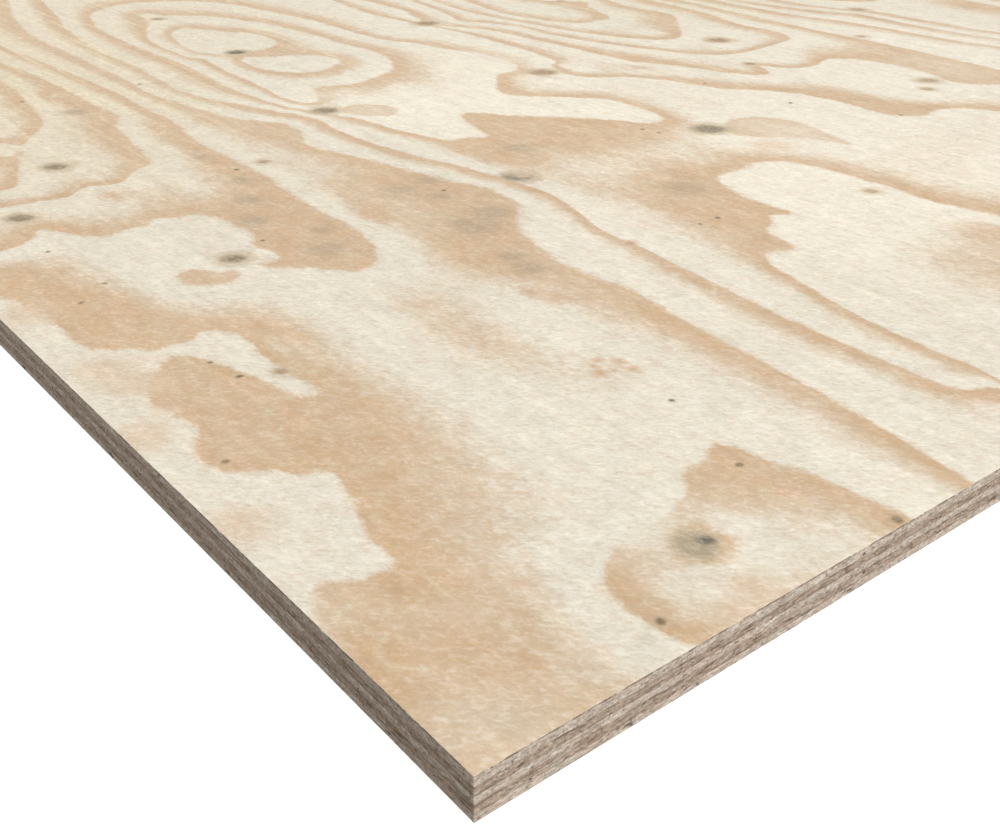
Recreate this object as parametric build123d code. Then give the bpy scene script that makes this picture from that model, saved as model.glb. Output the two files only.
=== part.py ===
from build123d import *
import os

# Softwood plywood sheet, five veneers glued crosswise and trimmed to size.
# Millimetres. The origin is at the centre of the underside, +X runs along the
# sheet's length, which is the grain of its two outer veneers, and +Z is up.

# Trimmed sheet
sheet_length = 2440.0
sheet_width = 1220.0

# Veneers, measured through the thickness from the face down
face_thickness = 4.1
upper_crossband_thickness = 3.5
core_thickness = 3.0
lower_crossband_thickness = 4.1
back_thickness = 3.3

# Edge finish
arris_radius = 0.4  # long edges of the outer veneers, eased by sanding
corner_radius = 0.8  # the four upright corners, rubbed in handling

# Lay-up from the floor up. The grain of each veneer crosses that of its neighbours.
layup = [
    ("back_veneer", back_thickness),
    ("lower_crossband", lower_crossband_thickness),
    ("core_veneer", core_thickness),
    ("upper_crossband", upper_crossband_thickness),
    ("face_veneer", face_thickness),
]


def trimmed_veneer(underside, thickness):
    """One veneer of the full sheet size, standing on the height given."""
    with BuildPart() as veneer:
        with BuildSketch(Plane.XY.offset(underside)):
            RectangleRounded(sheet_length, sheet_width, corner_radius)
        extrude(amount=thickness)
    return veneer.part


def eased(veneer, side):
    """An outer veneer with the arris all round its upper (-1) or lower (0) face rounded off."""
    return fillet(veneer.edges().group_by(Axis.Z)[side], arris_radius)


def lay_up():
    """The five veneers, each resting on the one below, by name."""
    sheet = {}
    underside = 0.0
    for name, thickness in layup:
        sheet[name] = trimmed_veneer(underside, thickness)
        underside += thickness
    sheet["face_veneer"] = eased(sheet["face_veneer"], -1)
    sheet["back_veneer"] = eased(sheet["back_veneer"], 0)
    return sheet


os.makedirs("parts", exist_ok=True)
for name, veneer in lay_up().items():
    veneer.label = name
    export_step(veneer, f"parts/{name}.step")
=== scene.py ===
import bpy
import math
import numpy as np
from mathutils import Matrix, Vector
from mathutils.geometry import delaunay_2d_cdt


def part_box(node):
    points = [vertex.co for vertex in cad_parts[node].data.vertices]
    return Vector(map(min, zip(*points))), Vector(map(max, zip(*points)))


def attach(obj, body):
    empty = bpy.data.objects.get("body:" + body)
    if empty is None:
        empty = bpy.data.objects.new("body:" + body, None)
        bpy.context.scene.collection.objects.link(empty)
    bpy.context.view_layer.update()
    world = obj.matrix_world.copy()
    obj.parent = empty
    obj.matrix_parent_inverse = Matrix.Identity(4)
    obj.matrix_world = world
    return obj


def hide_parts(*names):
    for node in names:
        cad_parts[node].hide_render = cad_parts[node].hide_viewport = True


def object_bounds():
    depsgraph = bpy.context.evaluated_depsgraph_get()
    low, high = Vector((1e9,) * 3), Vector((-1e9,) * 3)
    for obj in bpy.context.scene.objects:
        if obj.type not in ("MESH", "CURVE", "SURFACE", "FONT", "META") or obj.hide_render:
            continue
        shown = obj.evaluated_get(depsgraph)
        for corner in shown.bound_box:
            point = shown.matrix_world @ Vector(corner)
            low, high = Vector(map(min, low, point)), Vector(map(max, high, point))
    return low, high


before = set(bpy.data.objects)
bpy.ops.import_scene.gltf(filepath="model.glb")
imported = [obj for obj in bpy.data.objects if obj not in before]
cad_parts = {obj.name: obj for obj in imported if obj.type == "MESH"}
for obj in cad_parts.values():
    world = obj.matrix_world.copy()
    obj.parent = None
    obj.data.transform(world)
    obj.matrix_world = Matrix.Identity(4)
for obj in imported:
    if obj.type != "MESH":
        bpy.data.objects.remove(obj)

cadBox = [list(corner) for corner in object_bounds()]
mm = 0.001
xLow, yLow, zLow = cadBox[0]
xHigh, yHigh, zHigh = cadBox[1]
sheetSize = np.array([yHigh - yLow, xHigh - xLow]) / mm  # across and along the grain of the face
layUp = ["face_veneer", "upper_crossband", "core_veneer", "lower_crossband", "back_veneer"]


def planPlaces(x, y):
    # Places on the sheet are mm from the corner nearest the camera: across the grain, along the grain
    return (y - yLow) / mm, (xHigh - x) / mm


def faceOrBack(name):
    return name == layUp[0], name == layUp[-1]


def eased(t):
    return t * t * (3 - 2 * t)  # from 0 to 1, level at both ends


def colour(red, green, blue):
    # sRGB numbers from 0 to 255, as a paint chart gives them
    def straight(part):
        part /= 255
        return part / 12.92 if part <= 0.04045 else ((part + 0.055) / 1.055) ** 2.4
    return straight(red), straight(green), straight(blue), 1


def addObject(name, data):
    added = bpy.data.objects.new(name, data)
    bpy.context.scene.collection.objects.link(added)
    return added


cameraSetup = {
    "place": (1.411758, -0.753952, 0.264958),
    "lens": 43.439,
    "heading": 38.572,  # degrees from the sheet's long side
    "pitch": 29.058,
    "roll": -0.123,
    "clip": (0.01, 100),
}


def setCamera():
    heading, pitch, roll = (math.radians(cameraSetup[key]) for key in ("heading", "pitch", "roll"))
    level = math.cos(pitch)
    forward = Vector((-math.cos(heading) * level, math.sin(heading) * level, -math.sin(pitch)))
    levelRight = Vector((math.sin(heading), math.cos(heading), 0))
    levelDown = forward.cross(levelRight)
    right = math.cos(roll) * levelRight + math.sin(roll) * levelDown
    down = math.cos(roll) * levelDown - math.sin(roll) * levelRight
    data = bpy.data.cameras.new("photoCamera")
    data.lens = cameraSetup["lens"]
    data.clip_start, data.clip_end = cameraSetup["clip"]
    camera = addObject("photoCamera", data)
    turn = Matrix((right, -down, -forward)).transposed().to_4x4()
    camera.matrix_world = Matrix.Translation(cameraSetup["place"]) @ turn
    bpy.context.scene.camera = camera


# The ring figure is a height map of ring numbers. Each whole number is the sharp end of one year's late wood.
# A line gives its ring number, whether it closes on itself, and points with the width of the fading tan
ringLines = [
    (-2, False, [(84, 600, 14), (112, 668, 12), (137, 701, 12), (145, 722, 12), (153, 778, 14),
        (160, 832, 14), (156, 960, 14), (143, 1120, 14)]),
    (-1, False, [(30, 549, 14), (80, 541, 14), (100, 543, 14), (140, 554, 14), (163, 572, 18),
        (179, 662, 26), (192, 697, 36), (191, 740, 36), (190, 840, 32), (170, 1050, 22), (160, 1120, 18)]),
    (0, False, [(20, 478, 50), (46, 478, 50), (54, 484, 46), (60, 493, 40), (79, 467, 46), (87, 460, 42),
        (106, 463, 38), (112, 462, 36), (117, 469, 34), (131, 463, 48), (140, 462, 58), (148, 456, 60),
        (153, 442, 60), (155, 408, 60), (149, 397, 60), (147, 386, 60), (151, 373, 50), (137, 361, 40),
        (144, 355, 40), (160, 339, 40), (174, 327, 25), (193, 344, 40), (198, 356, 45), (203, 392, 50),
        (203, 440, 45), (209, 495, 42), (210, 600, 28), (219, 660, 16), (218, 710, 14), (218, 800, 14),
        (198, 1100, 14)]),
    (0, True, [(92, 372, 40), (95, 363, 40), (108, 355, 40), (116, 358, 40), (118, 364, 40), (110, 369, 40),
        (105, 377, 40), (98, 380, 40)]),
    (0, False, [(201, -10, 15), (197, 40, 20), (189, 68, 28), (188, 76, 30), (180, 78, 30), (170, 74, 30),
        (160, 73, 28), (150, 62, 22), (135, 57, 12), (98, 50, 17), (86, 35, 15), (85, -10, 14)]),
    (1, False, [(238, -10, 13), (252, 75, 17), (261, 178, 27), (267, 218, 36), (262, 260, 50),
        (276, 318, 70), (305, 360, 85), (308, 388, 85), (296, 420, 80), (288, 460, 58), (278, 500, 40),
        (267, 540, 30), (279, 575, 34), (278, 605, 34), (255, 648, 28), (241, 740, 12), (243, 800, 16),
        (243, 1000, 20), (253, 1080, 22), (268, 1145, 20), (292, 1230, 20)]),
    (1, False, [(-10, 460, 35), (2, 446, 38), (13, 404, 46), (21, 360, 45), (23, 325, 55), (38, 311, 60),
        (45, 303, 40), (53, 306, 30), (62, 302, 25), (69, 308, 25), (83, 298, 22), (83, 250, 22),
        (84, 235, 25), (78, 216, 25), (73, 221, 40), (63, 262, 38), (52, 288, 25), (45, 288, 25),
        (30, 272, 35), (23, 250, 45), (29, 225, 55), (18, 200, 80), (28, 181, 70), (36, 176, 60),
        (43, 166, 60), (53, 163, 55), (53, 150, 55), (41, 108, 60), (40, 96, 55), (30, 92, 55),
        (20, 94, 50), (11, 99, 50), (6, 90, 50), (-10, 82, 50)]),
    (2, False, [(330, 22, 16), (307, 43, 20), (302, 52, 18), (301, 70, 15), (303, 150, 18), (314, 262, 13),
        (315, 290, 10), (333, 362, 12), (321, 445, 14), (315, 465, 14), (305, 520, 12), (304, 570, 12),
        (305, 605, 12), (270, 697, 17), (267, 715, 16), (263, 740, 15), (269, 840, 18), (268, 920, 20),
        (281, 1030, 22), (297, 1095, 24), (325, 1235, 18)]),
    (3, False, [(326, 10, 12), (331, 110, 12), (345, 172, 12), (356, 203, 18), (382, 206, 40),
        (389, 232, 50), (400, 236, 55), (408, 245, 50), (416, 247, 45), (423, 241, 45), (423, 275, 55),
        (431, 303, 45), (452, 319, 28), (465, 319, 24), (492, 320, 22), (507, 304, 26), (514, 270, 32),
        (513, 252, 36), (515, 235, 38), (511, 205, 42), (516, 188, 42), (528, 110, 42)]),
    (3, True, [(352, 489, 14), (346, 505, 13), (337, 540, 12), (331, 580, 12), (308, 636, 12),
        (301, 680, 14), (299, 735, 14), (304, 800, 16), (302, 920, 16), (306, 1000, 17), (311, 1030, 18),
        (325, 1078, 20), (337, 1095, 22), (366, 1115, 30), (396, 1117, 28), (432, 1100, 26),
        (452, 1083, 26), (474, 1040, 24), (494, 940, 18), (497, 915, 17), (500, 815, 12), (508, 783, 12),
        (516, 770, 13), (528, 722, 18), (539, 695, 24), (540, 655, 20), (537, 638, 18), (528, 626, 14),
        (518, 621, 12), (507, 622, 14), (498, 616, 16), (478, 590, 18), (467, 567, 18), (480, 547, 14),
        (503, 525, 14), (521, 502, 20), (523, 485, 20), (520, 447, 20), (505, 431, 20), (485, 447, 60),
        (470, 468, 60), (460, 479, 70), (428, 512, 70), (410, 536, 50), (402, 537, 50), (395, 526, 50),
        (386, 492, 55), (381, 480, 60), (362, 488, 60)]),
    (3, True, [(338, 588, 40), (345, 582, 40), (360, 572, 40), (369, 595, 40), (362, 606, 40),
        (336, 603, 40)]),
    (4, True, [(324, 640, 10), (318, 665, 11), (321, 700, 12), (323, 740, 14), (323, 770, 14),
        (328, 815, 14), (321, 860, 12), (322, 915, 12), (331, 953, 14), (356, 1006, 18), (366, 1042, 18),
        (371, 1054, 20), (378, 1056, 22), (384, 1046, 40), (388, 1034, 50), (426, 999, 52), (444, 953, 42),
        (451, 940, 36), (462, 860, 25), (463, 810, 26), (468, 768, 27), (465, 737, 30), (454, 708, 44),
        (438, 687, 46), (402, 671, 42), (388, 668, 40), (375, 671, 38), (364, 676, 34), (348, 664, 14),
        (338, 642, 10)]),
    (5, True, [(340, 850, 8), (338, 888, 9), (353, 944, 14), (370, 963, 16), (378, 961, 20), (392, 942, 26),
        (404, 918, 26), (419, 899, 22), (420, 853, 25), (406, 835, 30), (380, 826, 20), (366, 823, 14),
        (354, 829, 8)]),
    (5, True, [(350, 770, 12), (353, 802, 12), (360, 811, 12), (369, 810, 15), (378, 803, 20),
        (402, 792, 28), (422, 774, 22), (425, 748, 20), (392, 723, 28), (370, 730, 28), (355, 752, 20)]),
    (2, True, [(526, 372, 45), (547, 349, 45), (559, 339, 40), (570, 310, 30), (574, 322, 30),
        (584, 368, 30), (578, 388, 30), (565, 398, 30), (550, 401, 35), (536, 394, 40)]),
    (2, False, [(572, 1010, 20), (562, 900, 18), (576, 812, 12), (582, 730, 18), (577, 645, 15),
        (555, 605, 14), (550, 590, 14), (552, 576, 16), (562, 563, 12), (588, 543, 12), (604, 512, 26),
        (619, 470, 30), (641, 445, 38), (656, 415, 42), (660, 380, 42), (657, 348, 42), (661, 334, 42),
        (670, 325, 40), (682, 321, 35), (708, 322, 28), (718, 315, 28), (750, 270, 35), (765, 245, 35)]),
    (1, False, [(597, 1010, 28), (599, 930, 28), (600, 905, 26), (584, 850, 14), (579, 832, 12),
        (583, 815, 16), (601, 788, 24), (613, 755, 24), (618, 690, 24), (624, 620, 28), (629, 582, 30),
        (645, 555, 24), (666, 497, 28), (683, 482, 30), (697, 500, 14), (704, 505, 12), (709, 496, 14),
        (726, 478, 18), (737, 477, 18), (760, 485, 20), (783, 478, 35), (791, 467, 50), (800, 435, 55),
        (797, 397, 55), (790, 380, 55), (787, 364, 55), (794, 352, 50), (812, 335, 45), (824, 318, 40),
        (838, 306, 40), (848, 318, 40), (850, 345, 45), (857, 430, 52), (861, 520, 28), (860, 580, 22),
        (870, 830, 38)]),
    (0, False, [(640, 960, 14), (624, 862, 12), (613, 827, 12), (617, 812, 12), (626, 802, 12),
        (640, 768, 12), (642, 745, 12), (641, 722, 12), (655, 660, 11), (677, 602, 11), (692, 572, 12),
        (717, 552, 12), (768, 553, 12), (812, 564, 20), (822, 592, 20), (822, 640, 18), (837, 702, 18),
        (842, 800, 20)]),
    (-1, False, [(655, 930, 10), (649, 870, 10), (652, 815, 10), (671, 710, 10), (690, 662, 14),
        (713, 633, 18), (733, 633, 18), (792, 697, 22), (802, 710, 24), (804, 730, 18), (799, 775, 14),
        (810, 830, 14)]),
    (-2, False, [(686, 925, 12), (673, 845, 12), (674, 815, 12), (687, 762, 16), (697, 745, 18),
        (709, 738, 20), (722, 741, 20), (734, 737, 20), (743, 743, 20), (750, 760, 18), (766, 801, 24),
        (790, 828, 24)]),
    (2, False, [(938, 400, 14), (935, 420, 14), (928, 450, 14), (917, 575, 16), (905, 622, 14),
        (897, 705, 34), (900, 780, 40)]),
    (3, False, [(972, 420, 16), (960, 470, 16), (957, 520, 16), (960, 580, 16), (956, 602, 16),
        (946, 618, 16), (931, 660, 20), (920, 710, 22), (917, 780, 22)]),
    (4, False, [(996, 440, 14), (988, 480, 14), (986, 560, 14), (985, 590, 12), (966, 630, 12),
        (960, 655, 12), (948, 750, 12)]),
    (5, False, [(1110, 470, 45), (1112, 520, 50), (1115, 560, 45), (1118, 620, 40)]),
]

# Ring numbers between the lines: place across, place along, ring number
ringSpots = [
    (150, 120, 0.3), (200, 120, 0.3), (150, 170, 0.35), (164, 233, 0.67), (178, 202, 0.68),
    (172, 285, 0.55), (206, 298, 0.57), (135, 300, 0.3), (140, 250, 0.35), (200, 200, 0.35),
    (220, 100, 0.35), (130, 100, 0.3), (218, 40, 0.35), (124, 4, -0.34), (150, 20, -0.58), (148, 47, -0.43),
    (136, 49, -0.42), (112, 18, -0.52), (171, 50, -0.14), (170, 10, -0.5), (10, 15, 0.86), (35, 15, 0.85),
    (20, 50, 0.87), (44, 50, 0.84), (40, 80, 0.9), (58, 20, 0.66), (66, 66, 0.66), (60, 95, 0.8),
    (85, 85, 0.6), (76, 115, 0.74), (104, 120, 0.6), (70, 150, 0.84), (98, 160, 0.76), (118, 165, 0.5),
    (60, 195, 0.9), (85, 190, 0.86), (104, 205, 0.74), (120, 215, 0.5), (45, 235, 0.9), (98, 240, 0.79),
    (115, 255, 0.55), (42, 265, 0.9), (90, 272, 0.72), (112, 290, 0.66), (88, 318, 0.76), (60, 330, 0.87),
    (40, 350, 0.88), (62, 365, 0.78), (38, 385, 0.88), (62, 400, 0.6), (34, 425, 0.86), (42, 450, 0.58),
    (66, 435, 0.42), (100, 335, 0.4), (130, 340, 0.3), (100, 430, 0.3), (120, 410, 0.3), (50, 470, 0.25),
    (225, 455, 0.58), (226, 512, 0.5), (216, 395, 0.6), (222, 345, 0.6), (262, 400, 0.84), (250, 350, 0.84),
    (238, 378, 0.74), (240, 410, 0.76), (246, 438, 0.78), (370, 60, 3.28), (350, 35, 3.15), (645, 232, 2.4),
    (690, 245, 2.4), (235, 285, 0.87), (222, 307, 0.82), (244, 264, 0.87), (258, 330, 0.88),
    (293, 361, 0.9), (234, 203, 0.64), (208, 148, 0.5), (246, 519, 0.57), (247, 488, 0.58),
    (242, 548, 0.56), (184, 40, -0.13), (504, 150, 3.62), (484, 168, 3.58), (856, 772, 0.8),
    (884, 756, 1.8), (190, 540, -0.22), (140, 486, -0.24), (103, 276, 0.87), (224, 156, 0.4),
    (438, 650, 3.7), (374, 658, 3.7), (374, 634, 3.6), (747, 824, -2.3), (20, 452, 0.74), (98, 305, 0.84),
    (68, 40, 0.54), (166, 790, -1.4), (230, 560, 0.5), (232, 605, 0.5), (228, 650, 0.42), (120, 540, -0.58),
    (152, 545, -0.6), (80, 540, -0.6), (185, 620, -0.6), (192, 660, -0.6), (206, 750, -0.6),
    (170, 440, -0.1), (180, 400, -0.1), (172, 362, -0.12), (185, 480, -0.14), (120, 600, -1.55),
    (130, 640, -1.6), (100, 580, -1.55), (101, 660, -1.75), (140, 590, -1.5), (125, 730, -2.5),
    (400, 485, 2.89), (440, 450, 2.87), (372, 455, 2.87), (405, 445, 2.87), (345, 430, 2.72),
    (372, 425, 2.84), (405, 415, 2.8), (440, 415, 2.84), (475, 415, 2.84), (350, 395, 2.56),
    (385, 386, 2.58), (425, 388, 2.66), (465, 382, 2.6), (350, 355, 2.55), (390, 350, 2.67),
    (440, 352, 2.75), (480, 350, 2.7), (352, 300, 2.52), (345, 466, 2.8), (342, 250, 2.5), (372, 305, 2.78),
    (368, 265, 2.8), (372, 232, 2.86), (398, 295, 2.88), (402, 330, 2.84), (430, 335, 2.88),
    (390, 265, 2.88), (440, 100, 3.68), (485, 115, 3.7), (410, 70, 3.45), (460, 60, 3.6), (430, 140, 3.66),
    (478, 155, 3.68), (567, 616, 1.62), (555, 372, 1.88), (562, 345, 1.86), (560, 280, 2.45),
    (600, 300, 2.4), (570, 430, 2.5), (590, 450, 2.35), (600, 400, 2.3), (620, 350, 2.3), (520, 410, 2.6),
    (440, 230, 3.25), (470, 260, 3.3), (400, 190, 3.25), (450, 190, 3.3), (430, 560, 3.3), (450, 600, 3.35),
    (400, 620, 3.4), (480, 650, 3.35), (500, 480, 3.2), (470, 500, 3.2), (370, 540, 3.25), (370, 505, 3.2),
    (505, 560, 2.5), (510, 590, 2.5), (380, 880, 5.3), (385, 760, 5.3), (334, 720, 4.25), (332, 660, 4.25),
    (655, 400, 2.02), (680, 400, 1.9), (690, 350, 1.88), (740, 430, 1.3), (760, 400, 1.35), (720, 340, 1.5),
    (830, 420, 0.88), (825, 460, 0.88), (830, 380, 0.88), (820, 500, 0.7), (750, 600, -0.55),
    (720, 590, -0.5), (720, 690, -1.5), (700, 700, -1.45), (720, 800, -2.6), (720, 850, -2.7),
    (760, 720, -1.4), (1040, 520, 4.4), (1020, 580, 4.4), (1085, 550, 4.86), (1060, 480, 4.5),
    (890, 480, 1.3), (890, 440, 1.3), (880, 580, 1.3), (640, 500, 1.5), (650, 470, 1.6), (620, 570, 1.6),
    (590, 590, 1.6), (600, 700, 1.35), (550, 820, 2.4), (540, 900, 2.4), (545, 760, 2.45),
]

# Where the rings are faint: place across, place along, reach across, reach along, share that is lost
faintPlaces = [
    (117, 54, 12, 13, 0.95), (285, 262, 50, 30, 0.2), (28, 5, 22, 22, 0.3), (8, 18, 12, 12, 0.3),
    (7, 90, 14, 16, 0.3), (127, 58, 30, 10, 0.6), (344, 655, 20, 20, 0.5), (955, 450, 40, 60, 0.4),
    (826, 395, 40, 60, 0.3), (105, 367, 22, 22, 0.15), (352, 590, 26, 26, 0.45), (560, 355, 40, 60, 0.5),
    (345, 870, 16, 40, 0.4), (540, 670, 25, 50, 0.5), (255, 790, 22, 200, 0.2),
]

# Lightness of the early wood from place to place: above 1 it is painted light that brightens the face, below
# 1 the wood turns to honey, partly its own warmer tone and partly painted shade. Place across, place along,
# lightness
toneAndLightSpots = [
    (10, 60, 1.0), (150, 120, 1.02), (220, 60, 1.05), (60, 330, 0.99), (40, 440, 0.99), (130, 400, 0.99),
    (230, 480, 0.97), (100, 650, 0.93), (170, 790, 0.88), (230, 950, 0.89), (380, 780, 0.99),
    (380, 950, 0.97), (330, 1100, 0.95), (290, 150, 1.03), (460, 250, 1.12), (430, 560, 1.14),
    (480, 640, 1.1), (560, 300, 1.13), (620, 400, 1.1), (620, 560, 1.05), (560, 800, 1.03),
    (700, 420, 1.08), (740, 330, 1.08), (760, 580, 1.04), (700, 800, 1.0), (880, 520, 1.1),
    (900, 700, 0.95), (850, 790, 0.92), (1000, 560, 1.02), (1100, 560, 1.0),
]

figureLook = {
    "seeds": {"face": 5, "back": 23},
    "pointStep": 20,  # mm between the points taken along a line
    "mean": 1.5,
    "reach": (55, 90),  # mm over which a line holds its surroundings, across and along the grain
    "hold": 4.0,
    "slack": {"line": 0.015, "sharpSide": 0.03, "spot": 0.03, "fadeEnd": 0.05},  # in ring numbers
    "leastFade": 6,
    "sharpSide": (0.25, 6, 0.1),  # share of the fade and most mm from the line, ring number gained there
    "fadeEnd": 0.5,  # ring number lost where the tan has faded
    "clearance": 0.8,  # share of its distance that a place beside a line keeps from all lines
    "spotRoom": 28,  # a spot closer than this stands in for a line's own fade
    "waves": [(90, 420, 1.7, 70), (36, 140, 0.22, 50)],  # across, along, height, how many
    "far": (450, 750),  # from here to there along the grain bands get wider and weaker
    "farWidth": 1.35,
    "farStrength": 0.93,
    "backStrength": 0.85,
    "toneReach": 95,
    "toneFloor": 0.02,
    "grain": (350, 500, 0.12),  # yellow streaks: where they begin, mm till they are full, least share
    "backGrain": 0.5,
    "portions": 40,  # points are worked out in so many lots, to save memory
}


def seededWaves(across, along, seed, waves):
    random = np.random.default_rng(seed)
    total = np.zeros(len(across))
    for reachAcross, reachAlong, height, count in waves:
        for k in range(count):
            turn = across * random.normal() / reachAcross + along * random.normal() / reachAlong
            total += height * math.sqrt(2 / count) * np.cos(turn + random.uniform(0, 2 * math.pi))
    return total


def wildRings(across, along, side):
    # The ring number where no line holds it
    return figureLook["mean"] + seededWaves(across, along, figureLook["seeds"][side], figureLook["waves"])


def farShare(along):
    start, end = figureLook["far"]
    return np.clip((along - start) / (end - start), 0, 1)


def followLine(points, closed, step):
    points = np.array(points, float)
    if closed:
        padded = np.vstack([points[-1:], points, points[:2]])
    else:
        padded = np.vstack([2 * points[0] - points[1], points, 2 * points[-1] - points[-2]])
    line = []
    for before, start, end, after in zip(padded, padded[1:], padded[2:], padded[3:]):
        pieces = max(1, round(float(np.hypot(*(end - start)[:2])) / step))
        slope, bend = end - before, 2 * before - 5 * start + 4 * end - after
        twist = 3 * start - before - 3 * end + after
        for t in np.arange(pieces) / pieces:
            line.append(0.5 * (2 * start + slope * t + bend * t ** 2 + twist * t ** 3))
    line = np.array(line)
    heading = np.roll(line, -1, 0) - np.roll(line, 1, 0) if closed else np.gradient(line, axis=0)
    heading = heading[:, :2] / np.maximum(np.hypot(heading[:, 0], heading[:, 1]), 1e-6)[:, None]
    return line, np.stack([-heading[:, 1], heading[:, 0]], 1)  # the second points to the tan side


def heldPlaces():
    look = figureLook
    lines = [(number, *followLine(points, closed, look["pointStep"])) for number, closed, points in ringLines]
    onLines = np.vstack([line[:, :2] for number, line, side in lines])
    spots = np.array(ringSpots, float)
    places, numbers, slack = [spots[:, :2]], [spots[:, 2]], [np.full(len(spots), look["slack"]["spot"])]

    def distance(where, others):
        return np.hypot(where[:, None, 0] - others[None, :, 0], where[:, None, 1] - others[None, :, 1]).min(1)

    def hold(kind, where, value, room):
        free = distance(where, onLines) >= look["clearance"] * room
        if kind == "fadeEnd":
            free &= distance(where, spots) > look["spotRoom"]
        places.append(where[free])
        numbers.append(np.broadcast_to(value, len(where))[free])
        slack.append(np.full(free.sum(), look["slack"][kind]))

    nearShare, nearMost, gained = look["sharpSide"]
    for number, line, side in lines:
        spot = line[:, :2]
        fade = np.maximum(line[:, 2], look["leastFade"]) * (1 + (look["farWidth"] - 1) * farShare(line[:, 1]))
        near = np.minimum(nearShare * fade, nearMost)
        hold("line", spot, number, 0)
        hold("sharpSide", spot - side * near[:, None], number + gained, near)
        hold("fadeEnd", spot + side * fade[:, None], number - look["fadeEnd"], fade)
    return np.vstack(places), np.concatenate(numbers), np.concatenate(slack)


def closeness(a, b):
    a, b = a / figureLook["reach"], b / figureLook["reach"]
    squares = (a * a).sum(1)[:, None] + (b * b).sum(1)[None] - 2 * a @ b.T
    r = np.sqrt(np.maximum(squares, 0)) * math.sqrt(3)
    return (1 + r) * np.exp(-r)


def settleRings():
    # Works out once how hard each held place pulls, and gives back the ring number at any points
    places, numbers, slack = heldPlaces()
    grip = figureLook["hold"] * closeness(places, places) + np.diag(slack ** 2)
    weights = figureLook["hold"] * np.linalg.solve(grip, numbers - wildRings(*places.T, "face"))
    margin = 4 * np.array(figureLook["reach"])
    low, high = places.min(0) - margin, places.max(0) + margin
    print("ring figure held at", len(places), "places")

    def ringsAt(across, along):
        rings = wildRings(across, along, "face")
        points = np.stack([across, along], 1)
        touched = np.flatnonzero(((points > low) & (points < high)).all(1))
        for part in np.array_split(touched, figureLook["portions"]):
            rings[part] += closeness(points[part], places) @ weights
        return rings

    return ringsAt


# Lightness at any points: painted light above 1, honey tone with painted shade below 1
def toneAndPaintedLight(across, along):
    total = np.full(len(across), figureLook["toneFloor"])
    tone = total.copy()
    for u, v, lightness in toneAndLightSpots:
        weight = np.exp(-((across - u) ** 2 + (along - v) ** 2) / figureLook["toneReach"] ** 2)
        total += weight
        tone += weight * lightness
    return tone / total


def faceStrength(across, along):
    strength = 1 - (1 - figureLook["farStrength"]) * farShare(along)
    for u, v, reachAcross, reachAlong, lost in faintPlaces:
        strength *= 1 - lost * np.exp(-((across - u) / reachAcross) ** 2 - ((along - v) / reachAlong) ** 2)
    return strength


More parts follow.
